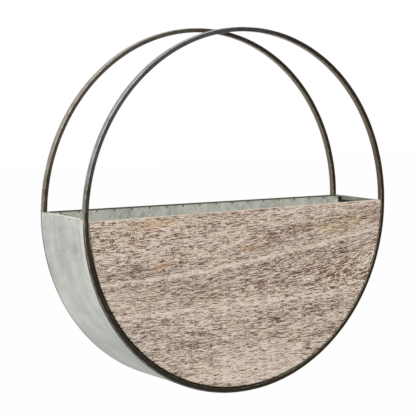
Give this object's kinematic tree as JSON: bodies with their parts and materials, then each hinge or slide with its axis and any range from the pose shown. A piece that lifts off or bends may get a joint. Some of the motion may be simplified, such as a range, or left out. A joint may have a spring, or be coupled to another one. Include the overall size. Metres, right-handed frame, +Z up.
{
  "type": "wall planter",
  "caption": "Half-round wall planter: galvanised sheet trough between full flat-bar hoops, with a weathered board across its front.",
  "frame": {"origin": "the inside top of the rear hoop in the plane of the wall, where it hangs on a hook", "axes": "+Z up, +Y towards the wall, so the front with the board faces -Y, and +X to the right of someone who looks at the front"},
  "size_m": [0.4018, 0.096, 0.4007],
  "materials": {
    "hoop_steel": "satin, dark oxidised brown-grey",
    "galvanised_sheet": "matte, dull cloudy zinc",
    "weathered_wood": "matte, weathered rough-sawn grain",
    "screw_zinc": "satin zinc plate",
    "solder": "matte, dull solder"
  },
  "bodies": {
    "root": {"front_hoop": "hoop_steel", "rear_hoop": "hoop_steel", "trough_band": "galvanised_sheet", "trough_back": "galvanised_sheet", "trough_front": "galvanised_sheet", "wood_board": "weathered_wood", "board_screws": "screw_zinc", "solder_front_left": "solder", "solder_front_right": "solder", "solder_rear_left": "solder", "solder_rear_right": "solder"}
  },
  "joints": []
}
